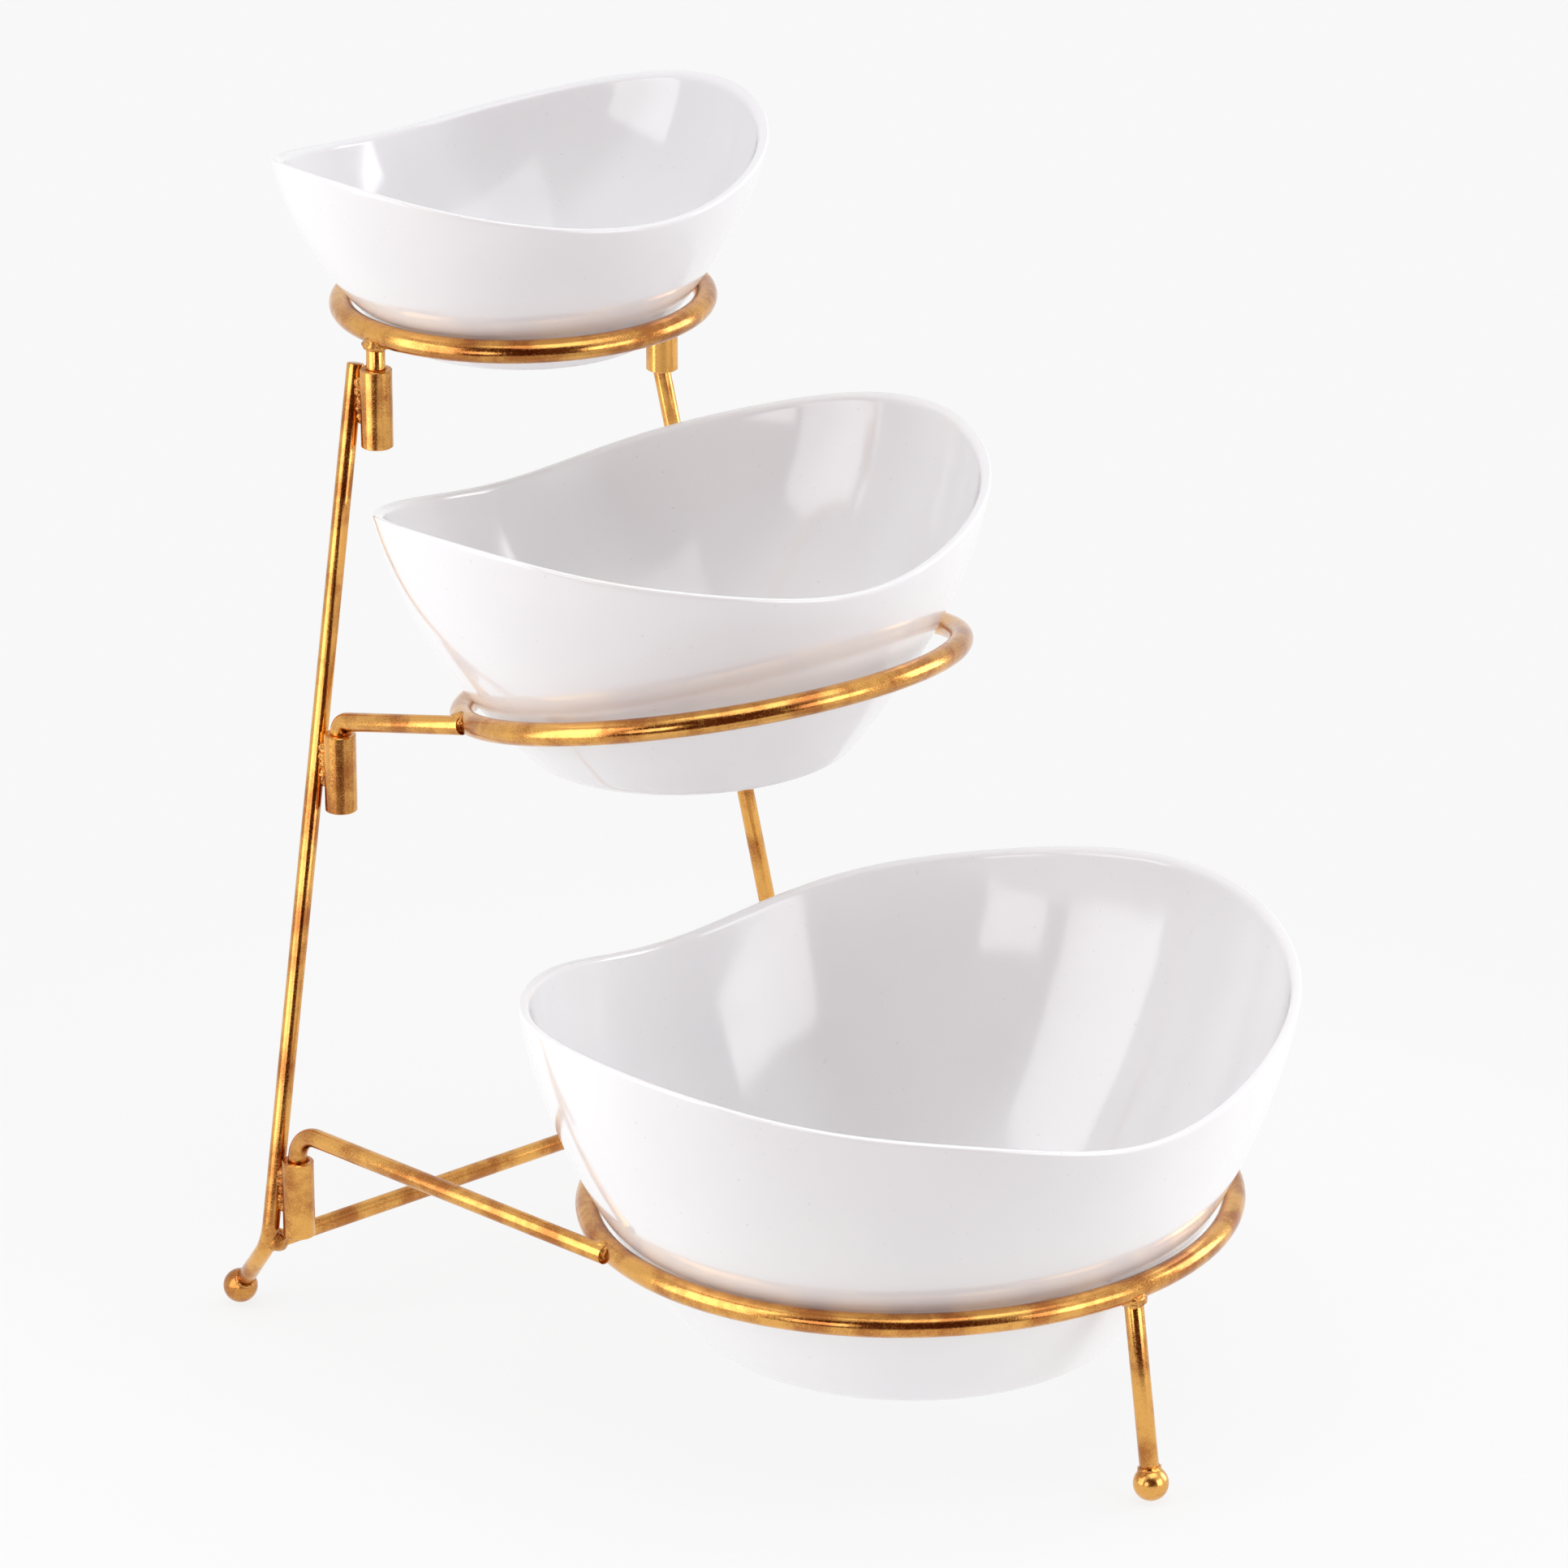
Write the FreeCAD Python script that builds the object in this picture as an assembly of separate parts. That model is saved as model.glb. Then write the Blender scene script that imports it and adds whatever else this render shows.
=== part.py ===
import FreeCAD, Part
import math
import os

# Three tier wire stand with three porcelain bowls.
# Millimetres. +Z up, the large bowl faces -Y, the floor is z = 0 and the
# origin is under the middle of the stand's footprint.

Vector = FreeCAD.Vector

# rod and tube stock
ring_rod = 8.0
arm_rod = 6.5
leg_rod = 6.0
ball_size = 12.0
sleeve_outer = 11.0
sleeve_length = 27.5
sleeve_bore_gap = 0.075      # running gap all round between a pin and its sleeve

# the leaning back frame
leg_top = (64.8, 131.7, 330.1)      # half spacing, depth, height
leg_knee = (122.8, 117.0, 30.3)
rear_foot = (118.4, 139.0)
knee_radius = 16.0
sleeve_inset = 3.5           # sleeve axis sits inside its leg
sleeve_forward = 8.9         # and in front of it
pin_depth = 14.0

# heights of the sleeve centres
small_sleeve_z = 316.4
medium_sleeve_z = 193.6
large_sleeve_z = 47.6

# the three hoops: half width, half depth, centre depth, height, nose-up tilt
small_hoop = (62.9, 60.5, 120.5, 342.1, 0.0)
medium_hoop = (86.0, 83.4, 25.5, 231.2, 12.2)
large_hoop = (110.0, 105.8, -73.3, 72.2, 0.0)

front_foot_y = -188.9
large_weld_angle = 72.0      # degrees round the hoop from its front to each arm
medium_weld_angle = 65.0

# bowls: half length and half depth of base and lip, drop below the hoop,
# height of the low front lip and of the high side tips above the hoop
small_bowl_size = (43.7, 43.7, 90.3, 78.0, -12.8, 43.3, 61.6)
medium_bowl_size = (55.0, 54.0, 110.3, 98.5, -28.2, 47.2, 71.4)
large_bowl_size = (72.1, 72.1, 135.6, 126.2, -43.6, 57.6, 84.3)
medium_bowl_lean = 2.3       # degrees, follows its hoop a little
medium_bowl_back = 11.2      # sits behind the middle of its leaning hoop
bowl_wall = 3.6
bowl_floor = 5.0
wall_bulge = 1.9
wall_reach = 0.92
foot_width = 6.0
foot_recess = 1.4
lip_round = 1.2


def along_leg(z):
    t = (z - leg_knee[2]) / (leg_top[2] - leg_knee[2])
    x = leg_knee[0] + (leg_top[0] - leg_knee[0]) * t
    y = leg_knee[1] + (leg_top[1] - leg_knee[1]) * t
    return x, y


def sleeve_axis(z):
    x, y = along_leg(z)
    return x - sleeve_inset, y - sleeve_forward


def bent_rod(points, bends, diameter):
    # straight runs joined by round bends, swept with a round section
    edges = []
    start = points[0]
    for i in range(1, len(points) - 1):
        corner = points[i]
        back = (points[i - 1] - corner).normalize()
        ahead = (points[i + 1] - corner).normalize()
        half = math.acos(max(-1.0, min(1.0, back.dot(ahead)))) / 2
        reach = bends[i - 1] / math.tan(half)
        first = corner + back * reach
        last = corner + ahead * reach
        centre = corner + (back + ahead).normalize() * (bends[i - 1] / math.sin(half))
        middle = centre + (corner - centre).normalize() * bends[i - 1]
        edges.append(Part.LineSegment(start, first).toShape())
        edges.append(Part.Arc(first, middle, last).toShape())
        start = last
    edges.append(Part.LineSegment(start, points[-1]).toShape())
    path = Part.Wire(edges)
    section = Part.Wire(Part.makeCircle(diameter / 2, points[0], points[1] - points[0]))
    return path.makePipeShell([section], True, False)


def on_hoop(hoop, angle, outward=0.0):
    # a point on the hoop's centre line, the angle measured from its front
    half_x, half_y, y, z, tilt = hoop
    turn = math.radians(angle)
    lean = math.radians(tilt)
    ahead = -(half_y + outward) * math.cos(turn)
    side = (half_x + outward) * math.sin(turn)
    return Vector(side, y + ahead * math.cos(lean), z - ahead * math.sin(lean))


def make_hoop(hoop):
    half_x, half_y, y, z, tilt = hoop
    path = Part.Wire(Part.Ellipse(Vector(0, 0, 0), half_x, half_y).toShape())
    section = Part.Wire(Part.makeCircle(ring_rod / 2, Vector(half_x, 0, 0), Vector(0, 1, 0)))
    rod = path.makePipeShell([section], True, False)
    rod.rotate(Vector(0, 0, 0), Vector(1, 0, 0), -tilt)
    rod.translate(Vector(0, y, z))
    return rod


def mirrored(shape):
    return shape.mirror(Vector(0, 0, 0), Vector(1, 0, 0))


def make_leg():
    x, y, z = leg_knee
    foot = Vector(rear_foot[0], rear_foot[1], ball_size / 2)
    points = [Vector(*leg_top), Vector(x, y, z), foot]
    return bent_rod(points, [knee_radius], leg_rod)


def make_sleeve(z):
    x, y = sleeve_axis(z)
    base = Vector(x, y, z - sleeve_length / 2)
    outer = Part.makeCylinder(sleeve_outer / 2, sleeve_length, base)
    bore = Part.makeCylinder(arm_rod / 2 + sleeve_bore_gap, sleeve_length, base)
    return outer.cut(bore)


def make_sleeve_weld(z, leg, sleeve):
    # a run of weld filling the groove between the leg and the sleeve
    length = sleeve_length * 0.45
    x, y = along_leg(z)
    sleeve_x, sleeve_y = sleeve_axis(z)
    share = (leg_rod / 2 + 0.5) / math.hypot(sleeve_inset, sleeve_forward)
    x = x + (sleeve_x - x) * share
    y = y + (sleeve_y - y) * share
    run = Part.makeCylinder(2.1, length, Vector(x, y, z - length / 2 + 2))
    ends = [Part.makeSphere(2.1, Vector(x, y, z + 2 + s * length / 2)) for s in (-1, 1)]
    bore = Part.makeCylinder(sleeve_outer / 2, 80, Vector(sleeve_x, sleeve_y, z - 40))
    return run.fuse(ends).removeSplitter().cut(leg).cut(bore)


def make_arm(hoop, sleeve_z, angle):
    # upright pin, a bend over the sleeve mouth, then a straight run to the hoop
    x, y = sleeve_axis(sleeve_z)
    mouth = sleeve_z + sleeve_length / 2
    lean = math.radians(hoop[4])
    corner_z = hoop[3] - (y - hoop[2]) * math.tan(lean)
    weld = on_hoop(hoop, angle, arm_rod / 2 + 1.0)
    tip = weld + (weld - Vector(x, y, corner_z)).normalize() * 3.0
    points = [Vector(x, y, mouth - pin_depth), Vector(x, y, corner_z), tip]
    bend = (corner_z - mouth - 0.6) * math.tan(math.radians(45 + hoop[4] / 2))
    return bent_rod(points, [bend], arm_rod)


def half_size(base, lip, share):
    rise = 1 - (1 - wall_reach * share) ** wall_bulge
    full = 1 - (1 - wall_reach) ** wall_bulge
    return base + (lip - base) * rise / full


def oval(half_x, half_y, z):
    if abs(half_x - half_y) < 0.01:
        return Part.Wire(Part.makeCircle(half_x, Vector(0, 0, z)))
    return Part.Wire(Part.Ellipse(Vector(0, 0, z), half_x, half_y).toShape())


def bowl_body(size, inset, floor):
    base_x, base_y, lip_x, lip_y, drop, front, tip = size
    height = tip - drop
    rows = []
    for i in range(7):
        share = floor / height + (1.0 - floor / height) * i / 6
        half_x = half_size(base_x, lip_x, share) - inset
        half_y = half_size(base_y, lip_y, share) - inset
        rows.append(oval(half_x, half_y, drop + height * share))
    return Part.makeLoft(rows, True, False)


def bowl_lip_cutter(size, rise_share):
    # everything above a lip that is low at front and back and high at the sides
    lip_x, front, tip = size[2], size[5], size[6]
    top = tip + 30
    heights = [(0, front), (0.5, front + (tip - front) * rise_share), (1, tip)]
    right = [Vector(lip_x * s, -200, z) for s, z in heights]
    left = [Vector(-p.x, p.y, p.z) for p in reversed(right[1:])]
    outer = Vector(lip_x * 1.06, -200, tip + (tip - front) * 0.14)
    line = Part.BSplineCurve()
    line.interpolate([Vector(-outer.x, outer.y, outer.z)] + left + right + [outer])
    corners = [outer, Vector(outer.x, -200, top), Vector(-outer.x, -200, top)]
    corners.append(Vector(-outer.x, -200, outer.z))
    edges = [line.toShape()]
    for a, b in zip(corners, corners[1:]):
        edges.append(Part.LineSegment(a, b).toShape())
    return Part.Face(Part.Wire(edges)).extrude(Vector(0, 400, 0))


def make_bowl(size, rise_share):
    base_x, base_y, drop = size[0], size[1], size[4]
    outside = bowl_body(size, 0.0, 0.0)
    outside = outside.makeFillet(4.0, [low_edge(outside)])
    inside = bowl_body(size, bowl_wall, bowl_floor)
    inside = inside.makeFillet(9.0, [low_edge(inside)])
    recess = Part.Face(oval(base_x - foot_width, base_y - foot_width, drop))
    recess = recess.extrude(Vector(0, 0, foot_recess))
    shell = outside.cut(inside).cut(recess).cut(bowl_lip_cutter(size, rise_share))
    lip = [e for e in shell.Edges if e.BoundBox.ZMax > size[5] - 1]
    lip = [e for e in lip if e.BoundBox.ZMin > size[5] - 4]
    return shell.makeFillet(lip_round, lip)


def low_edge(shape):
    return min(shape.Edges, key=lambda e: e.BoundBox.ZMax)


def save(shape, name):
    shape.exportStep("parts/" + name + ".step")


os.makedirs("parts", exist_ok=True)

# back frame
right_leg = make_leg()
right_foot = Part.makeSphere(ball_size / 2, Vector(rear_foot[0], rear_foot[1], ball_size / 2))
right_leg = right_leg.cut(right_foot)
crossbar = Part.makeCylinder(leg_rod / 2, 2 * leg_knee[0], Vector(-leg_knee[0], leg_knee[1], leg_knee[2]),
                             Vector(1, 0, 0))
crossbar = crossbar.cut(right_leg).cut(mirrored(right_leg))
crossbar = max(crossbar.Solids, key=lambda s: s.Volume)
save(right_leg, "right_leg")
save(mirrored(right_leg), "left_leg")
save(right_foot, "right_ball_foot")
save(mirrored(right_foot), "left_ball_foot")
save(crossbar, "crossbar")

sleeve_welds = []
for tier, z in (("small", small_sleeve_z), ("medium", medium_sleeve_z), ("large", large_sleeve_z)):
    sleeve = make_sleeve(z)
    save(sleeve, tier + "_right_sleeve")
    save(mirrored(sleeve), tier + "_left_sleeve")
    weld = make_sleeve_weld(z, right_leg, sleeve)
    sleeve_welds.extend([weld, mirrored(weld)])
save(Part.makeCompound(sleeve_welds), "sleeve_welds")

bar_weld = Part.makeSphere(4.6, Vector(leg_knee[0] - 3.0, leg_knee[1], leg_knee[2]))
bar_weld = bar_weld.cut(right_leg).cut(crossbar)
save(Part.makeCompound([bar_weld, mirrored(bar_weld)]), "crossbar_welds")

# small tier: hoop with a short pin under each side
small_ring = make_hoop(small_hoop)
pin_x, pin_y = sleeve_axis(small_sleeve_z)
pin_low = small_sleeve_z + sleeve_length / 2 - pin_depth
pin = Part.makeCylinder(arm_rod / 2, small_hoop[3] - pin_low, Vector(pin_x, pin_y, pin_low))
pin = max(pin.cut(small_ring).Solids, key=lambda s: s.Volume)
pin_weld = Part.makeSphere(4.3, Vector(pin_x, pin_y, small_hoop[3] - 2.6)).cut(small_ring).cut(pin)
save(small_ring, "small_ring")
save(pin, "small_right_pin")
save(mirrored(pin), "small_left_pin")
save(Part.makeCompound([pin_weld, mirrored(pin_weld)]), "small_ring_welds")

# medium tier: leaning hoop on two short arms
medium_ring = make_hoop(medium_hoop)
medium_arm = make_arm(medium_hoop, medium_sleeve_z, 180 - medium_weld_angle)
medium_arm = max(medium_arm.cut(medium_ring).Solids, key=lambda s: s.Volume)
weld_at = on_hoop(medium_hoop, 180 - medium_weld_angle, 3.2)
medium_weld = Part.makeSphere(5.0, weld_at).cut(medium_ring).cut(medium_arm)
save(medium_ring, "medium_ring")
save(medium_arm, "medium_right_arm")
save(mirrored(medium_arm), "medium_left_arm")
save(Part.makeCompound([medium_weld, mirrored(medium_weld)]), "medium_ring_welds")

# large tier: level hoop on two long arms and a front leg
large_ring = make_hoop(large_hoop)
large_arm = make_arm(large_hoop, large_sleeve_z, 180 - large_weld_angle)
large_arm = max(large_arm.cut(large_ring).Solids, key=lambda s: s.Volume)
front_point = on_hoop(large_hoop, 0)
front_ball = Part.makeSphere(ball_size / 2, Vector(0, front_foot_y, ball_size / 2))
front_leg = bent_rod([front_point, Vector(0, front_foot_y, ball_size / 2)], [], arm_rod)
front_leg = front_leg.cut(large_ring).cut(front_ball)
front_leg = max(front_leg.Solids, key=lambda s: s.Volume)
weld_at = on_hoop(large_hoop, 180 - large_weld_angle, 3.2)
large_weld = Part.makeSphere(5.0, weld_at).cut(large_ring).cut(large_arm)
front_weld = Part.makeSphere(4.8, front_point - Vector(0, 0.5, 3.6)).cut(large_ring).cut(front_leg)
save(large_ring, "large_ring")
save(large_arm, "large_right_arm")
save(mirrored(large_arm), "large_left_arm")
save(front_leg, "front_leg")
save(front_ball, "front_ball_foot")
save(Part.makeCompound([large_weld, mirrored(large_weld), front_weld]), "large_ring_welds")

# bowls
small_bowl = make_bowl(small_bowl_size, 0.27)
small_bowl.translate(Vector(0, small_hoop[2], small_hoop[3]))
medium_bowl = make_bowl(medium_bowl_size, 0.32)
medium_bowl.rotate(Vector(0, 0, 0), Vector(1, 0, 0), -medium_bowl_lean)
medium_bowl.translate(Vector(0, medium_hoop[2] + medium_bowl_back, medium_hoop[3]))
large_bowl = make_bowl(large_bowl_size, 0.43)
large_bowl.translate(Vector(0, large_hoop[2], large_hoop[3]))
save(small_bowl, "small_bowl")
save(medium_bowl, "medium_bowl")
save(large_bowl, "large_bowl")
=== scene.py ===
import math

import bmesh
import bpy
from mathutils import Matrix, Vector, noise


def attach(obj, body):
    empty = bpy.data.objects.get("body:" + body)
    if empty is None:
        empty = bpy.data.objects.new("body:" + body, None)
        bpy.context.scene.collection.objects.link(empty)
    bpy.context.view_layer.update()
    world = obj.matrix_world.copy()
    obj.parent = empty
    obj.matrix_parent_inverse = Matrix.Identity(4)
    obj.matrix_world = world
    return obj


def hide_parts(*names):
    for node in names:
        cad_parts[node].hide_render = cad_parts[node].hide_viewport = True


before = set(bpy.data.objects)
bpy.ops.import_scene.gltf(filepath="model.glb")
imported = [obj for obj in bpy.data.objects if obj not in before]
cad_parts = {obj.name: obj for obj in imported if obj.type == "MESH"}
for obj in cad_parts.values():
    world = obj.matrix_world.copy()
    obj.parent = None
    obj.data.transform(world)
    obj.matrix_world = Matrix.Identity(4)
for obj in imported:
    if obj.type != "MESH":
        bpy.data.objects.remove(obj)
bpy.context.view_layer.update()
print("frame loaded:", len(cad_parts), "nodes")

scene = bpy.context.scene
metre = 0.001  # shapes are drawn in millimetres and brought to metres at the end


class Signal:
    # one socket of a finish, so that sums on it read as sums
    def __init__(self, finish, socket):
        self.finish = finish
        self.socket = socket

    def combine(self, operation, first, second):
        return self.finish.node("ShaderNodeMath", {"operation": operation}, {0: first, 1: second})

    def __add__(self, other):
        return self.combine("ADD", self, other)

    def __radd__(self, other):
        return self.combine("ADD", other, self)

    def __sub__(self, other):
        return self.combine("SUBTRACT", self, other)

    def __rsub__(self, other):
        return self.combine("SUBTRACT", other, self)

    def __mul__(self, other):
        return self.combine("MULTIPLY", self, other)

    def __rmul__(self, other):
        return self.combine("MULTIPLY", other, self)


class Finish:
    # a node tree being filled in, for a material or for the surroundings
    def __init__(self, holder):
        holder.use_nodes = True
        self.holder = holder
        self.tree = holder.node_tree
        self.tree.nodes.clear()

    def node(self, kind, settings=None, sockets=None, output=0):
        made = self.tree.nodes.new(kind)
        for key, value in (settings or {}).items():
            setattr(made, key, value)
        for key, value in (sockets or {}).items():
            if isinstance(value, Signal):
                self.tree.links.new(value.socket, made.inputs[key])
            else:
                made.inputs[key].default_value = value
        return Signal(self, made.outputs[output]) if len(made.outputs) else None

    def noiseAt(self, coords, scale, detail=2.0, rough=0.5):
        return self.node("ShaderNodeTexNoise", {}, {
            "Vector": coords, "Scale": scale, "Detail": detail, "Roughness": rough})

    def bumpOf(self, height, strength, distance):
        return self.node("ShaderNodeBump", {}, {
            "Strength": strength, "Distance": distance, "Height": height})

    def surface(self, sockets):
        shader = self.node("ShaderNodeBsdfPrincipled", {}, sockets)
        self.node("ShaderNodeOutputMaterial", {}, {"Surface": shader})
        return self.holder

    def limits(self, value, span, bottom=0.0, top=1.0):
        return self.node("ShaderNodeMapRange", {"clamp": True}, {
            "Value": value, "From Min": span[0], "From Max": span[1], "To Min": bottom, "To Max": top})

    def blendColours(self, share, first, second):
        # 6, 7 and 2 are the Mix node's colour sockets
        return self.node("ShaderNodeMix", {"data_type": "RGBA"}, {0: share, 6: first, 7: second}, 2)


lacquerGold = {
    "gold": (0.80, 0.41, 0.098, 1),
    "bronze": (0.44, 0.155, 0.032, 1),
    "dust": (0.26, 0.10, 0.025, 1),
    "blotchScale": 60.0,
    "grainScale": 1900.0,
    "blotchShare": 0.75,
    "goldSpan": (0.40, 0.55),
    "smooth": 0.13,
    "rough": 0.25,
    "grainSpan": (0.35, 0.65),
    "grainHeight": 0.5,
    "speckFineness": 1.7,  # against the grain
    "speckSpan": (0.66, 0.74),
    "pitScale": 520.0,
    "pitSpan": (0.52, 0.66),
    "bumpDistance": 0.00025,
    "coat": 0.35,
    "coatRough": 0.12,
}
# what dust and pits do on smooth lacquer, and how much more they do where it is fully pitted
wear = {
    "speck": (0.35, 0.3),
    "pits": (0.10, 0.75),
    "rough": (0.06, 0.3),
    "depth": (0.2, 2.0),
    "bump": (0.14, 0.55),
}


def paintGold(name, look, pitted=0.0):
    finish = Finish(bpy.data.materials.new(name))
    worn = {key: least + pitted * more for key, (least, more) in wear.items()}
    coords = finish.node("ShaderNodeTexCoord", output="Object")
    blotch = finish.noiseAt(coords, look["blotchScale"], 3.0, 0.55)
    grain = finish.noiseAt(coords, look["grainScale"], 2.0, 0.6)
    speck = finish.noiseAt(coords, look["grainScale"] * look["speckFineness"], 1.0)
    speck = finish.limits(speck, look["speckSpan"])
    pits = finish.limits(finish.noiseAt(coords, look["pitScale"], 3.0, 0.6), look["pitSpan"])
    share = look["blotchShare"]
    warm = finish.limits(blotch * share + grain * (1 - share), look["goldSpan"])
    colour = finish.blendColours(warm, look["bronze"], look["gold"])
    colour = finish.blendColours(speck * worn["speck"], colour, look["dust"])
    colour = finish.blendColours(pits * worn["pits"], colour, look["dust"])
    rough = finish.limits(grain, look["grainSpan"], look["smooth"], look["rough"]) + pits * worn["rough"]
    height = grain * look["grainHeight"] - pits * worn["depth"]
    return finish.surface({
        "Base Color": colour, "Metallic": 1.0, "Roughness": rough,
        "Normal": finish.bumpOf(height, worn["bump"], look["bumpDistance"]),
        "Coat Weight": look["coat"], "Coat Roughness": look["coatRough"], "Coat IOR": 1.45})


glaze = {
    "white": (0.865, 0.862, 0.872, 1),
    "shade": (0.835, 0.832, 0.848, 1),
    "speck": (0.62, 0.60, 0.58, 1),
    "gloss": 0.085,
    "dull": 0.15,
    "cloudScale": 14.0,
    "cloudSpan": (0.35, 0.65),
    "rippleScale": 38.0,
    "peelScale": 900.0,
    "peelSpan": (0.3, 0.7),
    "peelHeight": 0.012,
    "pinScale": 700.0,
    "pinSpan": (0.835, 0.86),
    "pinShare": 0.3,
    "pinDepth": 0.05,
    "bump": 0.35,
    "bumpDistance": 0.0012,
    "coat": 0.6,
    "coatRough": 0.085,
}


def paintGlaze(name, look):
    finish = Finish(bpy.data.materials.new(name))
    coords = finish.node("ShaderNodeTexCoord", output="Object")
    cloud = finish.noiseAt(coords, look["cloudScale"], 3.0)
    ripple = finish.noiseAt(coords, look["rippleScale"], 1.0)
    peel = finish.noiseAt(coords, look["peelScale"], 1.0)
    pin = finish.limits(finish.noiseAt(coords, look["pinScale"], 0.0), look["pinSpan"])
    colour = finish.blendColours(finish.limits(cloud, look["cloudSpan"]), look["shade"], look["white"])
    colour = finish.blendColours(pin * look["pinShare"], colour, look["speck"])
    rough = finish.limits(peel, look["peelSpan"], look["gloss"], look["dull"])
    height = ripple + peel * look["peelHeight"] - pin * look["pinDepth"]
    return finish.surface({
        "Base Color": colour, "Roughness": rough, "IOR": 1.5,
        "Normal": finish.bumpOf(height, look["bump"], look["bumpDistance"]),
        "Coat Weight": look["coat"], "Coat Roughness": look["coatRough"]})


firedClay = {
    "dark": (0.60, 0.57, 0.52, 1),
    "pale": (0.78, 0.76, 0.72, 1),
    "gritScale": 1600.0,
    "gritSpan": (0.4, 0.62),
    "rough": 0.82,
    "bump": 0.5,
    "bumpDistance": 0.0003,
}


def paintBareClay(name, look):
    # the unglazed ring that a bowl stood on in the kiln
    finish = Finish(bpy.data.materials.new(name))
    coords = finish.node("ShaderNodeTexCoord", output="Object")
    grit = finish.noiseAt(coords, look["gritScale"], 3.0, 0.7)
    colour = finish.blendColours(finish.limits(grit, look["gritSpan"]), look["dark"], look["pale"])
    return finish.surface({
        "Base Color": colour, "Roughness": look["rough"],
        "Normal": finish.bumpOf(grit, look["bump"], look["bumpDistance"])})


paper = {
    "dark": (0.120, 0.120, 0.121, 1),
    "pale": (0.126, 0.126, 0.127, 1),
    "far": (0, 0, 0, 1),
    "glow": (0.815, 0.815, 0.815, 1),
    "farGlow": (0.94, 0.94, 0.94, 1),
    "fade": (0.32, 0.44),  # metres from the middle, where the paper melts into the backdrop
    "weaveScale": 300.0,
}


def paintFloor(name, look):
    finish = Finish(bpy.data.materials.new(name))
    coords = finish.node("ShaderNodeTexCoord", output="Object")
    away = finish.node("ShaderNodeVectorMath", {"operation": "LENGTH"}, {0: coords}, "Value")
    far = finish.limits(away, look["fade"])
    colour = finish.blendColours(finish.noiseAt(coords, look["weaveScale"]), look["dark"], look["pale"])
    colour = finish.blendColours(far, colour, look["far"])
    glow = finish.blendColours(far, look["glow"], look["farGlow"])
    return finish.surface({
        "Base Color": colour, "Roughness": 0.9, "Specular IOR Level": 0.0,
        "Emission Color": glow, "Emission Strength": 1.0})


rodGold = paintGold("rodGold", lacquerGold)
tubeGold = paintGold("tubeGold", {**lacquerGold, "smooth": 0.15, "rough": 0.27})
# also used on the arms' cut ends, where its darkness is painted shade for the dark pit seen in each end
weldAndShadeGold = paintGold("weldAndShadeGold", {**lacquerGold, "smooth": 0.22, "rough": 0.38}, 0.8)
bowlGlaze = paintGlaze("bowlGlaze", glaze)
bareClay = paintBareClay("bareClay", firedClay)
floorPaper = paintFloor("floorPaper", paper)
print("finishes ready")


def vertsOf(geom):
    return [g for g in geom if isinstance(g, bmesh.types.BMVert)]


def edgesOf(geom):
    return [g for g in geom if isinstance(g, bmesh.types.BMEdge)]


def rimOf(verts):
    # the edges that run between the given corners only
    inside = set(verts)
    nearby = dict.fromkeys(e for v in verts for e in v.link_edges)
    return [e for e in nearby if all(v in inside for v in e.verts)]


def turnTo(along):
    return Vector((0, 0, 1)).rotation_difference(along).to_matrix().to_4x4()


def growRows(bm, rows, spot, around, closed=False):
    # rows of corners, each one drawn out of the last and put where spot says
    turn = bm.verts.layers.float.new("turn")
    ring = bmesh.ops.create_circle(bm, cap_ends=not closed, segments=around, radius=1)["verts"]
    for corner in ring:
        corner[turn] = math.atan2(corner.co.y, corner.co.x)
        corner.co = spot(corner[turn], rows[0])
    first = edges = rimOf(ring)
    for row in rows[1:]:
        made = bmesh.ops.extrude_edge_only(bm, edges=edges)["geom"]
        ring = vertsOf(made)
        for corner in ring:
            corner.co = spot(corner[turn], row)
        edges = rimOf(ring)
        for face in made:
            if isinstance(face, bmesh.types.BMFace):
                face.material_index = row.get("paint", 0)
    if closed:
        bmesh.ops.bridge_loops(bm, edges=first + edges)
    else:
        bmesh.ops.holes_fill(bm, edges=edges, sides=0)


rodShape = {"around": 32, "bendSteps": 14, "chamfer": 0.45, "tipInset": 0.9, "tipStep": -1.1}


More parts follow.
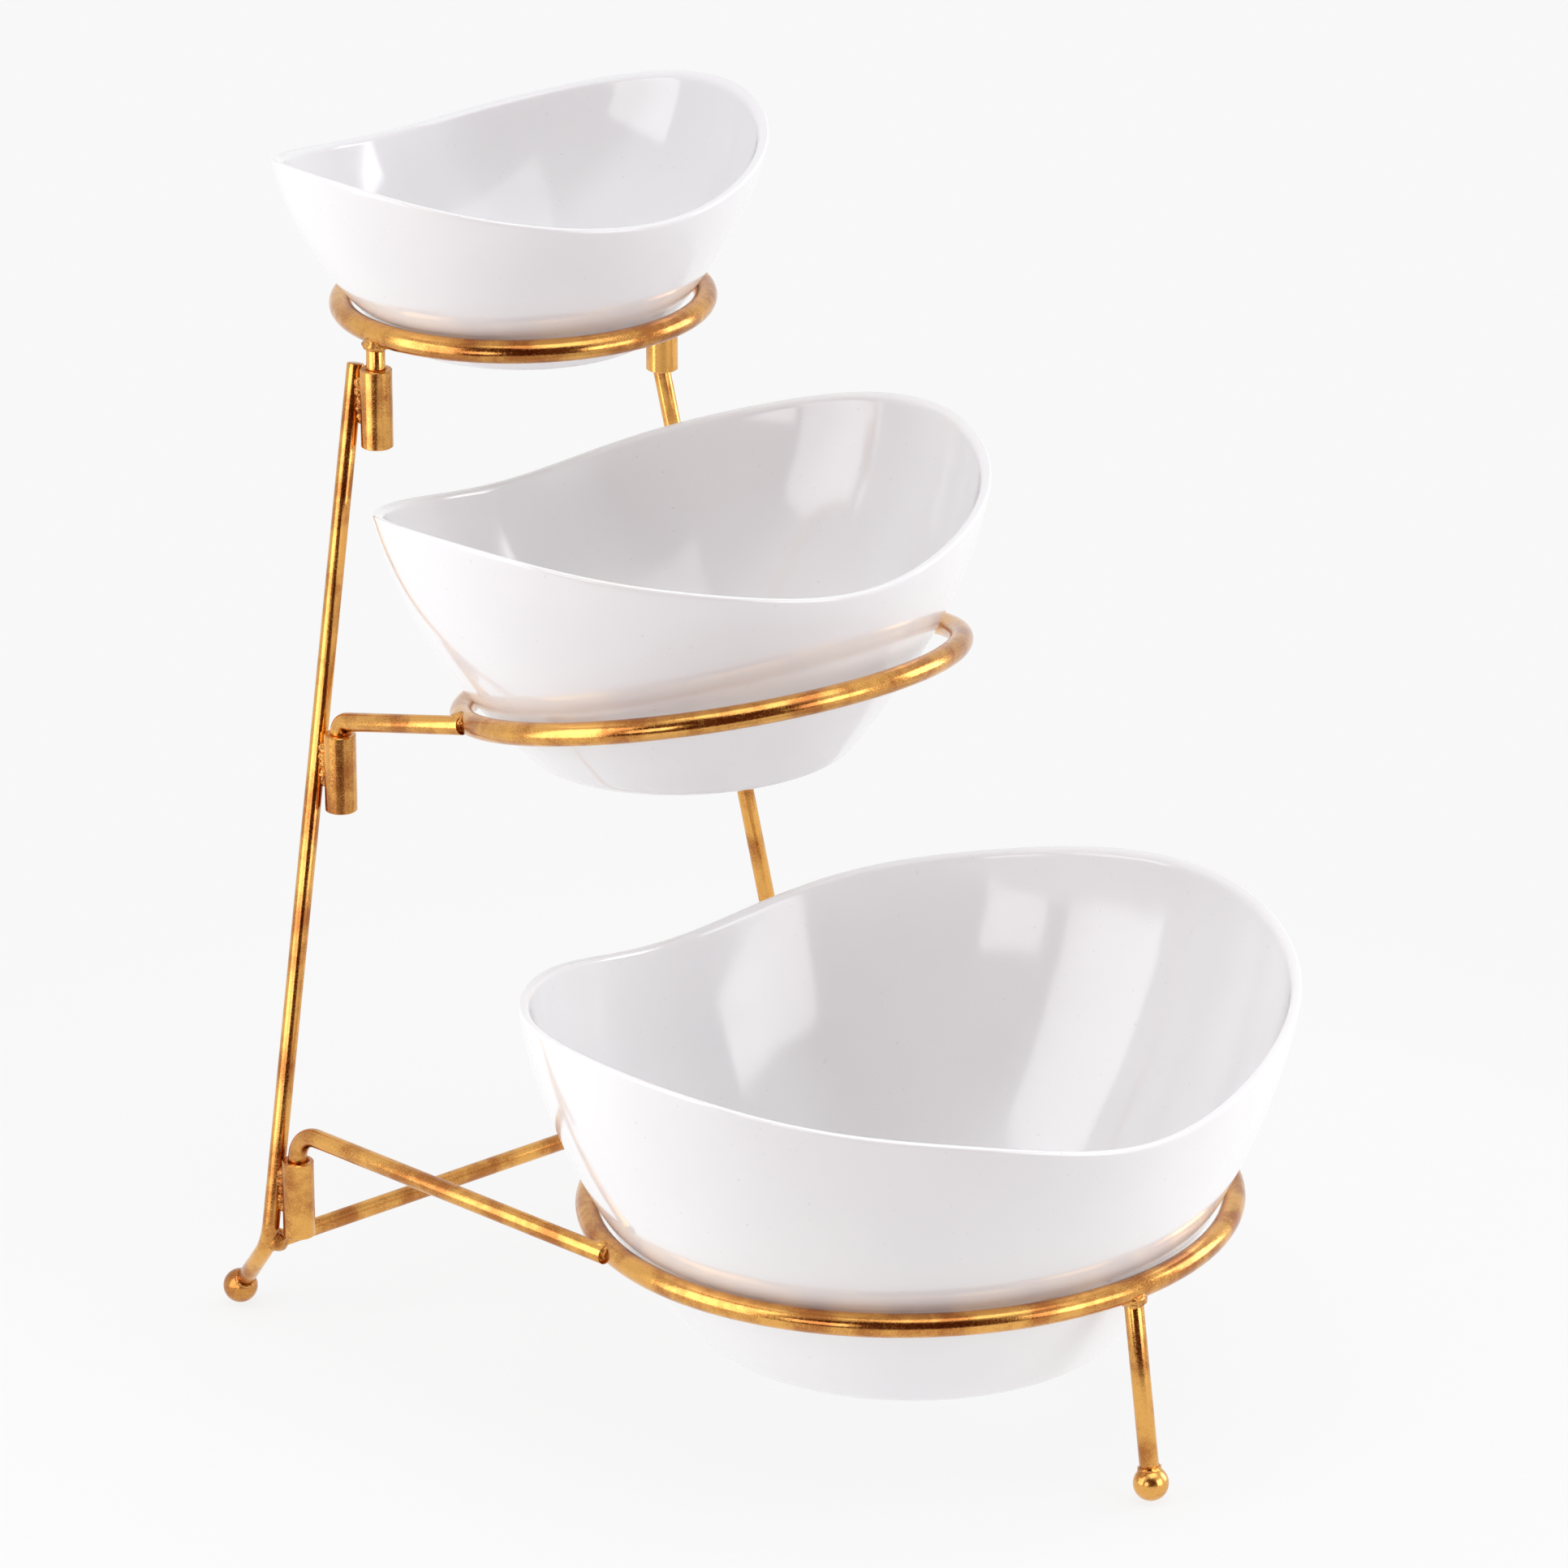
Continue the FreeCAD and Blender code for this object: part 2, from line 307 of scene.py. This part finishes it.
def roundRod(bm, points, bend, radius, chamfer=rodShape["chamfer"], endPaint=0):
    # a straight run, a round bend where there is a middle point, another run
    start, end = points[0], points[-1]
    ahead = (points[1] - start).normalized()
    spots = Matrix.Translation(start) @ turnTo(ahead)
    ring = bmesh.ops.create_circle(bm, segments=rodShape["around"], radius=radius,
                                   matrix=spots)["verts"]
    edges = rimOf(ring)
    if len(points) == 3:
        corner = points[1]
        leave = (end - corner).normalized()
        swing = ahead.angle(leave)
        reach = bend * math.tan(swing / 2)
        axis = ahead.cross(leave).normalized()
        centre = corner - ahead * reach + axis.cross(ahead) * bend
        made = bmesh.ops.extrude_edge_only(bm, edges=edges)["geom"]
        ring = vertsOf(made)
        bmesh.ops.translate(bm, vec=corner - ahead * reach - start, verts=ring)
        made = bmesh.ops.spin(bm, geom=ring + rimOf(ring), cent=centre, axis=axis, dvec=(0, 0, 0),
                              angle=swing, steps=rodShape["bendSteps"], use_merge=False, use_duplicate=False)
        edges = edgesOf(made["geom_last"])
        start = corner + leave * reach
    made = bmesh.ops.extrude_edge_only(bm, edges=edges)["geom"]
    bmesh.ops.translate(bm, vec=end - start, verts=vertsOf(made))
    caps = bmesh.ops.holes_fill(bm, edges=[e for e in bm.edges if e.is_boundary], sides=0)["faces"]
    rims = [e for f in caps for e in f.edges]
    # a painted end takes the darker pitted weld finish: rough cut metal, and painted shade for the dark pit
    # in the cut end
    for cap in caps:
        cap.material_index = endPaint
    if endPaint:
        bmesh.ops.inset_region(bm, faces=caps, thickness=rodShape["tipInset"], depth=rodShape["tipStep"])
    bmesh.ops.bevel(bm, geom=rims, offset=chamfer, segments=2, profile=0.5, affect="EDGES", material=-1)


bead = {
    "lumps": ((1.6, 1.0), (4.5, 0.55), (11.0, 0.2)),  # how fine, how strong
    "strength": 0.16,
    "seedStep": (7.3, 3.1, 5.7),
}


def weldBead(bm, place, size, seed, strength=bead["strength"]):
    # a lump of weld metal: a ball pulled out of shape
    made = bmesh.ops.create_icosphere(bm, subdivisions=4, radius=1)["verts"]
    shift = Vector(bead["seedStep"]) * seed
    for corner in made:
        point = Vector(corner.co)
        swell = sum(noise.noise(point * fine + shift) * strength * share for fine, share in bead["lumps"])
        corner.co = point * (1 + swell)
    bmesh.ops.scale(bm, vec=size, verts=made)
    bmesh.ops.translate(bm, vec=place, verts=made)


def landPiece(bm, name, body, nodes, paints, sharp=38.0, side=1, detail=0):
    # outward faces, metres, then into the frame as the piece for its nodes
    bmesh.ops.remove_doubles(bm, verts=bm.verts, dist=0.0005)
    bmesh.ops.scale(bm, vec=(side * metre, metre, metre), verts=bm.verts)
    bmesh.ops.recalc_face_normals(bm, faces=bm.faces)
    mesh = bpy.data.meshes.new(name)
    bm.to_mesh(mesh)
    bm.free()
    for paint in paints:
        mesh.materials.append(paint)
    mesh.shade_smooth()
    if sharp:
        mesh.set_sharp_from_angle(angle=math.radians(sharp))
    piece = bpy.data.objects.new(name, mesh)
    scene.collection.objects.link(piece)
    if detail:
        softer = piece.modifiers.new("soften", "SUBSURF")
        softer.levels = detail
        softer.render_levels = detail
    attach(piece, body)
    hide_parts(*nodes)


sides = (("right", 1), ("left", -1))


backFrame = {
    "top": (64.8, 131.7, 330.1),
    "knee": (122.8, 117.0, 30.3),
    "foot": (118.4, 139.0, 6.0),
    "kneeBend": 16.0,
    "rod": 3.0,
    "ball": 6.0,
    "ballShy": 0.02,  # keeps the ball's lowest point off the floor
    "ballSides": (56, 28),
    "sleeveInset": 3.5,
    "sleeveForward": 8.9,
}
sleeve = {
    "outer": 5.5,
    "bore": 3.325,
    "half": 13.75,
    "chamfer": 0.35,
    "around": 60,
    "mouthFlare": (0.75, 1.1),  # how wide and how deep the mouth is eased
    "seamAt": 150.0,  # degrees, where the rolled tube closes
    "seam": (0.08, -0.28),
    "heights": {"small": 316.4, "medium": 193.6, "large": 47.6},
}


def alongLeg(z):
    top, knee = Vector(backFrame["top"]), Vector(backFrame["knee"])
    return knee.lerp(top, (z - knee.z) / (top.z - knee.z))


def sleeveAxis(tier):
    height = sleeve["heights"][tier]
    spot = alongLeg(height)
    return Vector((spot.x - backFrame["sleeveInset"], spot.y - backFrame["sleeveForward"], height))


collar = {"thick": 0.75, "proud": 0.1, "around": 10, "steps": 40, "lumpScale": 0.9, "out": 0.5, "up": 0.4}


def addCollar(bm, ballAt, along, rodRadius, seed):
    # the bead of weld where a rod goes into its ball
    thick, proud = collar["thick"], collar["proud"]
    reach = math.sqrt(backFrame["ball"] ** 2 - rodRadius ** 2)
    spots = Matrix.Translation(ballAt + along * (reach + proud)) @ turnTo(along)
    upright = Matrix.Translation((rodRadius + proud, 0, 0)) @ Matrix.Rotation(math.radians(90), 4, "X")
    ring = bmesh.ops.create_circle(bm, segments=collar["around"], radius=thick, matrix=upright)["verts"]
    before = set(bm.verts) - set(ring)
    bmesh.ops.spin(bm, geom=ring + rimOf(ring), cent=(0, 0, 0), axis=(0, 0, 1), dvec=(0, 0, 0),
                   angle=math.tau, steps=collar["steps"], use_merge=True, use_duplicate=False)
    fresh = [v for v in bm.verts if v not in before]
    for corner in fresh:
        flat = Vector((corner.co.x, corner.co.y, 0)).normalized()
        swell = noise.noise(corner.co * collar["lumpScale"] + Vector((seed, seed * 2, 0)))
        corner.co += flat * swell * thick * collar["out"]
        corner.co.z += swell * thick * collar["up"]
    bmesh.ops.transform(bm, matrix=spots, verts=fresh)


def addBall(bm, ballAt, along, rodRadius, seed):
    around, up = backFrame["ballSides"]
    bmesh.ops.create_uvsphere(bm, u_segments=around, v_segments=up, matrix=Matrix.Translation(ballAt),
                              radius=backFrame["ball"] - backFrame["ballShy"])
    addCollar(bm, ballAt, along, rodRadius, seed)


def addSleeve(bm, centre):
    outer, bore, half, edge = sleeve["outer"], sleeve["bore"], sleeve["half"], sleeve["chamfer"]
    flare, deep = sleeve["mouthFlare"]
    rows = [(outer - edge, -half), (outer, edge - half), (outer, half - edge), (outer - edge, half),
            (bore + flare, half), (bore, half - deep), (bore, edge - half), (bore + edge, -half)]
    rows = [{"radius": r, "z": z} for r, z in rows]

    def spot(turn, row):
        return centre + Vector((row["radius"] * math.cos(turn), row["radius"] * math.sin(turn), row["z"]))

    growRows(bm, rows, spot, sleeve["around"], closed=True)
    seam = math.radians(sleeve["seamAt"])
    facing = Vector((math.cos(seam), math.sin(seam), 0))
    wall = [f for f in bm.faces if abs(f.calc_center_median().z - centre.z) < 1.0
            and (f.calc_center_median() - centre).length > outer - 0.6]
    strip = max(wall, key=lambda f: (f.calc_center_median() - centre).dot(facing))
    bmesh.ops.inset_region(bm, faces=[strip], thickness=sleeve["seam"][0], depth=sleeve["seam"][1],
                           use_boundary=True)


for side, flip in sides:
    bm = bmesh.new()
    top, knee, foot = (Vector(backFrame[k]) for k in ("top", "knee", "foot"))
    roundRod(bm, [top, knee, foot], backFrame["kneeBend"], backFrame["rod"])
    landPiece(bm, side + "LeaningLeg", "back_frame", [side + "_leg"], [rodGold], side=flip)

    bm = bmesh.new()
    addBall(bm, foot, (knee - foot).normalized(), backFrame["rod"], 1.0 + flip)
    landPiece(bm, side + "RearBall", "back_frame", [side + "_ball_foot"], [rodGold], side=flip)

    for tier in sleeve["heights"]:
        bm = bmesh.new()
        addSleeve(bm, sleeveAxis(tier))
        landPiece(bm, tier + side.capitalize() + "Tube", "back_frame", [tier + "_" + side + "_sleeve"],
                  [tubeGold], sharp=28.0, side=flip)

bm = bmesh.new()
crossbar = {"endIn": 1.0, "weldIn": 3.2, "weldSize": (4.2, 3.9, 3.9)}
knee = Vector(backFrame["knee"])
bar = Vector((knee.x - crossbar["endIn"], knee.y, knee.z))
roundRod(bm, [Vector((-bar.x, bar.y, bar.z)), bar], 0, backFrame["rod"])
landPiece(bm, "lowCrossbar", "back_frame", ["crossbar"], [rodGold])

sleeveWelds = {
    "beads": 5,
    "step": 2.9,
    "lift": 2,
    "gap": 0.5,
    "sizes": ((2.0, 2.0, 2.3), (2.3, 2.3, 2.1)),  # beads take turns
    "strength": 0.22,
}
bm = bmesh.new()
for side, flip in sides:
    for tier, height in sleeve["heights"].items():
        leg = alongLeg(height)
        axis = sleeveAxis(tier)
        share = (backFrame["rod"] + sleeveWelds["gap"]) / (axis - leg).length
        groove = leg.lerp(axis, share)
        for i in range(sleeveWelds["beads"]):
            climb = sleeveWelds["lift"] + (i - sleeveWelds["beads"] // 2) * sleeveWelds["step"]
            spot = Vector((groove.x * flip, groove.y, height + climb))
            size = sleeveWelds["sizes"][i % 2]
            weldBead(bm, spot, size, height * 0.1 + i + flip, sleeveWelds["strength"])
landPiece(bm, "tubeWelds", "back_frame", ["sleeve_welds"], [weldAndShadeGold], sharp=0)

bm = bmesh.new()
for side, flip in sides:
    place = Vector((flip * (knee.x - crossbar["weldIn"]), knee.y, knee.z))
    weldBead(bm, place, crossbar["weldSize"], 3 + flip)
landPiece(bm, "crossbarBeads", "back_frame", ["crossbar_welds"], [weldAndShadeGold], sharp=0)
print("back frame ready")


hoopRod = 4.0
hoopSteps = 220
armRod = 3.25
pinDepth = 14.0
armEnd = {"outside": 1.0, "past": 3.0, "bendAbove": 0.6, "chamfer": 0.3}
hoops = {  # half width and half depth, middle, how far the front is tipped up, where the arms are welded
    "small": {"half": (62.9, 60.5), "y": 120.5, "z": 342.1, "tilt": 0.0, "weld": 90.0},
    "medium": {"half": (86.0, 83.4), "y": 25.5, "z": 231.2, "tilt": 12.2, "weld": 115.0},
    "large": {"half": (110.0, 105.8), "y": -73.3, "z": 72.2, "tilt": 0.0, "weld": 108.0},
}


def onHoop(hoop, angle, outward=0.0):
    # a point on the hoop's middle line, the angle counted from its front
    turn, lean = math.radians(angle), math.radians(hoop["tilt"])
    ahead = -(hoop["half"][1] + outward) * math.cos(turn)
    across = (hoop["half"][0] + outward) * math.sin(turn)
    return Vector((across, hoop["y"] + ahead * math.cos(lean), hoop["z"] - ahead * math.sin(lean)))


def makeHoop(tier):
    hoop = hoops[tier]
    halfX, halfY = hoop["half"]
    bm = bmesh.new()
    spots = Matrix.Translation((halfX, 0, 0)) @ Matrix.Rotation(math.radians(90), 4, "X")
    ring = bmesh.ops.create_circle(bm, segments=rodShape["around"], radius=hoopRod, matrix=spots)["verts"]
    bmesh.ops.spin(bm, geom=ring + rimOf(ring), cent=(0, 0, 0), axis=(0, 0, 1), dvec=(0, 0, 0),
                   angle=math.tau, steps=hoopSteps, use_merge=True, use_duplicate=False)
    for corner in bm.verts:
        corner.co.y += (halfY - halfX) * corner.co.y / Vector((corner.co.x, corner.co.y)).length
    bmesh.ops.rotate(bm, cent=(0, 0, 0), matrix=Matrix.Rotation(-math.radians(hoop["tilt"]), 3, "X"),
                     verts=bm.verts)
    bmesh.ops.translate(bm, vec=(0, hoop["y"], hoop["z"]), verts=bm.verts)
    landPiece(bm, tier + "Hoop", tier + "_tier", [tier + "_ring"], [rodGold])


def makeArm(tier, side, flip):
    hoop = hoops[tier]
    mouth = sleeveAxis(tier) + Vector((0, 0, sleeve["half"]))
    lean = math.radians(hoop["tilt"])
    corner = Vector((mouth.x, mouth.y, hoop["z"] - (mouth.y - hoop["y"]) * math.tan(lean)))
    weld = onHoop(hoop, hoop["weld"], armRod + armEnd["outside"])
    tip = weld + (weld - corner).normalized() * armEnd["past"]
    bend = (corner.z - mouth.z - armEnd["bendAbove"]) * math.tan(math.radians(45 + hoop["tilt"] / 2))
    bm = bmesh.new()
    # the cut end gets the darker weld finish, partly painted shade for the dark pit there
    roundRod(bm, [mouth - Vector((0, 0, pinDepth)), corner, tip], bend, armRod, armEnd["chamfer"], endPaint=1)
    landPiece(bm, tier + side.capitalize() + "Arm", tier + "_tier", [tier + "_" + side + "_arm"],
              [rodGold, weldAndShadeGold], side=flip)


for tier in hoops:
    makeHoop(tier)
for side, flip in sides:
    makeArm("medium", side, flip)
    makeArm("large", side, flip)
    mouth = sleeveAxis("small") + Vector((0, 0, sleeve["half"]))
    bm = bmesh.new()
    roundRod(bm, [mouth - Vector((0, 0, pinDepth)), Vector((mouth.x, mouth.y, hoops["small"]["z"] - 1.0))],
             0, armRod)
    landPiece(bm, "small" + side.capitalize() + "Pin", "small_tier", ["small_" + side + "_pin"],
              [rodGold], side=flip)

hoopWelds = {
    "small": {"size": (4.1, 4.4, 3.2), "drop": -3.4, "seed": 9},
    "medium": {"size": (3.5, 4.6, 3.3), "out": 2.6, "lift": 0.8, "seed": 12},
    "large": {"size": (3.5, 4.6, 3.3), "out": 2.6, "lift": 0.8, "seed": 12},
}
frontLeg = {"footY": -188.9, "startBack": 1.5, "weldAt": (0, -0.5, -3.4), "weldSize": (4.3, 4.3, 3.4)}
frontFoot = Vector((0, frontLeg["footY"], backFrame["ball"]))
frontPoint = onHoop(hoops["large"], 0)
frontAlong = (frontPoint - frontFoot).normalized()
bm = bmesh.new()
roundRod(bm, [frontPoint - frontAlong * frontLeg["startBack"], frontFoot], 0, armRod)
landPiece(bm, "frontLeg", "large_tier", ["front_leg"], [rodGold])
bm = bmesh.new()
addBall(bm, frontFoot, frontAlong, armRod, 5.0)
landPiece(bm, "frontBall", "large_tier", ["front_ball_foot"], [rodGold])

for tier, weld in hoopWelds.items():
    if tier == "small":
        place = sleeveAxis(tier)
        place.z = hoops[tier]["z"] + weld["drop"]
    else:
        place = onHoop(hoops[tier], hoops[tier]["weld"], weld["out"])
        place.z += weld["lift"]
    bm = bmesh.new()
    for side, flip in sides:
        weldBead(bm, Vector((place.x * flip, place.y, place.z)), weld["size"], weld["seed"] + flip)
    if tier == "large":
        weldBead(bm, frontPoint + Vector(frontLeg["weldAt"]), frontLeg["weldSize"], 17)
    landPiece(bm, tier + "HoopWelds", tier + "_tier", [tier + "_ring_welds"], [weldAndShadeGold],
              sharp=0)
print("hoops ready")


bowls = {  # half sizes of base and lip, then heights from the hoop's middle
    "small": {"base": (43.7, 43.7), "lip": (90.3, 78.0), "drop": -12.8, "front": 43.3, "tip": 61.6,
              "curve": (1.251, -0.911, 0.988, -0.329), "place": (0, 120.5, 342.1), "lean": 0.0},
    "medium": {"base": (55.0, 54.0), "lip": (110.3, 98.5), "drop": -28.2, "front": 47.2, "tip": 71.4,
               "curve": (1.7, -2.196, 2.261, -0.767), "place": (0, 36.7, 231.2), "lean": 2.3},
    "large": {"base": (72.1, 72.1), "lip": (135.6, 126.2), "drop": -43.6, "front": 57.6, "tip": 84.3,
              "curve": (2.72, -5.211, 5.355, -1.869), "place": (0, -73.3, 72.2), "lean": 0.0},
}
bowlMake = {
    "around": 88,
    "wall": 3.6,
    "floor": 5.0,
    "flare": (0.92, 1.9),
    "lipSteps": 12,
    "recess": 1.4,  # how deep the middle of the underside is let in
    "underside": (0.42, 0.84),
    "footRim": 1.5,  # rows below this follow the base
    # inset from the base's edge, height, 1 where the clay is bare
    "foot": ((6.7, 1.4, 0), (6.15, 1.3, 0), (6.0, 0.6, 0), (5.7, 0.05, 0), (5.0, 0.0, 1), (2.6, 0.0, 1),
             (1.5, 0.1, 1), (0.75, 0.5, 0)),
    "outside": (0.018, 0.05, 0.10, 0.17, 0.26, 0.36, 0.47, 0.58, 0.69, 0.79, 0.87, 0.93, 0.965),
    # inset from the outside, distance under the lip
    "lip": ((0.0, 2.0), (0.12, 1.15), (0.6, 0.48), (1.3, 0.32), (2.3, 0.32), (3.0, 0.48), (3.48, 1.15),
            (3.6, 2.0)),
    "inside": (0.965, 0.93, 0.87, 0.79, 0.69, 0.58, 0.47, 0.36, 0.27, 0.19, 0.13),
    # further inset than the wall, height above the bowl's floor
    "corner": ((0.45, 3.0), (1.6, 1.3), (3.6, 0.25), (6.5, 0.0)),
    "middle": (0.62, 0.3),
}


def halfAt(bowl, height, way):
    # the outside flares fast from the foot and is nearly upright at the tips
    flare, power = bowlMake["flare"]
    share = (height - bowl["drop"]) / (bowl["tip"] - bowl["drop"])
    rise = (1 - (1 - flare * share) ** power) / (1 - (1 - flare) ** power)
    return bowl["base"][way] + (bowl["lip"][way] - bowl["base"][way]) * rise


def lipHeight(bowl, turn, inset):
    # low at front and back, rising to the two side tips; the width there and the height depend on each other
    height = bowl["front"]
    for _ in range(bowlMake["lipSteps"]):
        across = (halfAt(bowl, height, 0) - inset) * abs(math.cos(turn)) / bowl["lip"][0]
        share = sum(part * across ** (2 * i + 2) for i, part in enumerate(bowl["curve"]))
        height = bowl["front"] + (bowl["tip"] - bowl["front"]) * share
    return height


def bowlRows():
    # from under the foot, up the outside, over the lip and down the inside
    wall, floor = bowlMake["wall"], bowlMake["floor"]
    rows = [{"share": share, "up": bowlMake["recess"]} for share in bowlMake["underside"]]
    rows += [{"inset": inset, "up": up, "paint": paint} for inset, up, paint in bowlMake["foot"]]
    rows += [{"inset": 0.0, "climb": climb} for climb in bowlMake["outside"]]
    rows += [{"inset": inset, "below": below} for inset, below in bowlMake["lip"]]
    rows += [{"inset": wall, "climb": climb} for climb in bowlMake["inside"]]
    rows += [{"inset": wall + inset, "up": floor + up} for inset, up in bowlMake["corner"]]
    rows += [{"share": share, "up": floor} for share in bowlMake["middle"]]
    return rows


def makeBowl(tier):
    bowl = bowls[tier]

    def spot(turn, row):
        if "up" in row:
            height = bowl["drop"] + row["up"]
        else:
            lip = lipHeight(bowl, turn, row["inset"])
            if "below" in row:
                height = lip - row["below"]
            else:
                height = bowl["drop"] + row["climb"] * (lip - bowl["drop"])
        if "share" in row:
            half = [size * row["share"] for size in bowl["base"]]
        elif row.get("up", bowlMake["floor"]) < bowlMake["footRim"]:
            half = [size - row["inset"] for size in bowl["base"]]
        else:
            half = [halfAt(bowl, height, way) - row["inset"] for way in (0, 1)]
        return Vector((half[0] * math.cos(turn), half[1] * math.sin(turn), height))

    bm = bmesh.new()
    growRows(bm, bowlRows(), spot, bowlMake["around"])
    bmesh.ops.rotate(bm, cent=(0, 0, 0), matrix=Matrix.Rotation(-math.radians(bowl["lean"]), 3, "X"),
                     verts=bm.verts)
    bmesh.ops.translate(bm, vec=bowl["place"], verts=bm.verts)
    landPiece(bm, tier + "PorcelainBowl", tier + "_bowl", [tier + "_bowl"],
              [bowlGlaze, bareClay], sharp=0, detail=2)


for tier in bowls:
    makeBowl(tier)
print("bowls ready")


studio = {
    "floorSize": 6.0,
    "floorDrop": 0.0006,
    "floorSides": 64,
    "skySpan": (-0.1, 0.6),
    "sky": (0.87, 0.87, 0.88, 1),
    "horizon": (0.84, 0.84, 0.85, 1),
    "backdrop": (0.94, 0.94, 0.94, 1),
    "darkRoom": (0.10, 0.026, 0.016, 1),
    "darkAt": (-0.67, -0.74, 0.05),
    "darkSpan": (0.55, 0.72),
    "nearEdge": 0.44,  # how far the paper reaches towards the dark side of the room
}

bm = bmesh.new()
bmesh.ops.create_circle(bm, cap_ends=True, segments=studio["floorSides"], radius=studio["floorSize"],
                        matrix=Matrix.Translation((0, 0, -studio["floorDrop"])))
openSide = Vector((studio["darkAt"][0], studio["darkAt"][1], 0)).normalized()
bmesh.ops.bisect_plane(bm, geom=bm.verts[:] + bm.edges[:] + bm.faces[:], plane_no=openSide,
                       plane_co=openSide * studio["nearEdge"], clear_outer=True)
floorMesh = bpy.data.meshes.new("paperFloor")
bm.to_mesh(floorMesh)
bm.free()
floorMesh.materials.append(floorPaper)
paperFloor = bpy.data.objects.new("paperFloor", floorMesh)
scene.collection.objects.link(paperFloor)


def lightRoom():
    room = Finish(bpy.data.worlds.new("studioRoom"))
    ray = room.node("ShaderNodeTexCoord", output="Generated")
    height = room.node("ShaderNodeSeparateXYZ", {}, {"Vector": ray}, "Z")
    colour = room.blendColours(room.limits(height, studio["skySpan"]), studio["horizon"], studio["sky"])
    towards = room.node("ShaderNodeVectorMath", {"operation": "DOT_PRODUCT"},
                        {0: ray, 1: Vector(studio["darkAt"]).normalized()}, "Value")
    dark = room.limits(towards, studio["darkSpan"])
    colour = room.blendColours(dark, colour, studio["darkRoom"])
    seen = room.node("ShaderNodeLightPath", output="Is Camera Ray")
    colour = room.blendColours(seen, colour, studio["backdrop"])
    shade = room.node("ShaderNodeBackground", {}, {"Color": colour, "Strength": 1.0})
    room.node("ShaderNodeOutputWorld", {}, {"Surface": shade})
    scene.world = room.holder


lights = {
    "windowLight": {"place": (-0.69, 0.16, 0.33), "aim": (0.1, -0.02, 0.18), "size": (0.52, 0.80),
                    "power": 2.7},
    "frontLight": {"place": (0.28, -1.14, 0.30), "aim": (0.03, 0.03, 0.12), "size": (0.65, 0.55),
                   "power": 3.2},
    "overheadLight": {"place": (-0.05, -0.5, 1.6), "aim": (0, -0.05, 0.15), "size": (1.3, 1.3),
                      "power": 6.5},
    "rightLight": {"place": (1.3, -0.6, 0.45), "aim": (0, 0, 0.15), "size": (0.6, 0.8), "power": 6.5},
    "lowLight": {"place": (-1.25, -0.55, 0.30), "aim": (-0.05, -0.05, 0.1), "size": (0.5, 0.5),
                 "power": 2.0},
}


def addSoftLight(name, light):
    lamp = bpy.data.lights.new(name, "AREA")
    lamp.shape = "RECTANGLE"
    lamp.size, lamp.size_y = light["size"]
    lamp.energy = light["power"]
    holder = bpy.data.objects.new(name, lamp)
    holder.location = light["place"]
    ahead = Vector(light["aim"]) - Vector(light["place"])
    holder.rotation_euler = ahead.to_track_quat("-Z", "Y").to_euler()
    holder.visible_camera = False
    scene.collection.objects.link(holder)


lightRoom()
for name, light in lights.items():
    addSoftLight(name, light)
print("lights ready")


view = {
    "target": (0.0001, -0.0105, 0.2017),
    "azimuth": -42.22,
    "elevation": 20.29,
    "roll": -0.12,
    "distance": 2.874,
    "lens": 197.3,
}
azimuth, elevation = math.radians(view["azimuth"]), math.radians(view["elevation"])
back = Vector((math.sin(azimuth) * math.cos(elevation), -math.cos(azimuth) * math.cos(elevation),
               math.sin(elevation)))
cameraData = bpy.data.cameras.new("viewCamera")
cameraData.lens = view["lens"]
cameraData.sensor_width = 36.0
cameraData.clip_end = 50.0
camera = bpy.data.objects.new("viewCamera", cameraData)
camera.location = Vector(view["target"]) + back * view["distance"]
upright = back.to_track_quat("Z", "Y").to_matrix() @ Matrix.Rotation(math.radians(view["roll"]), 3, "Z")
camera.rotation_euler = upright.to_euler()
scene.collection.objects.link(camera)
scene.camera = camera
scene.view_settings.view_transform = "Standard"
print("camera ready")
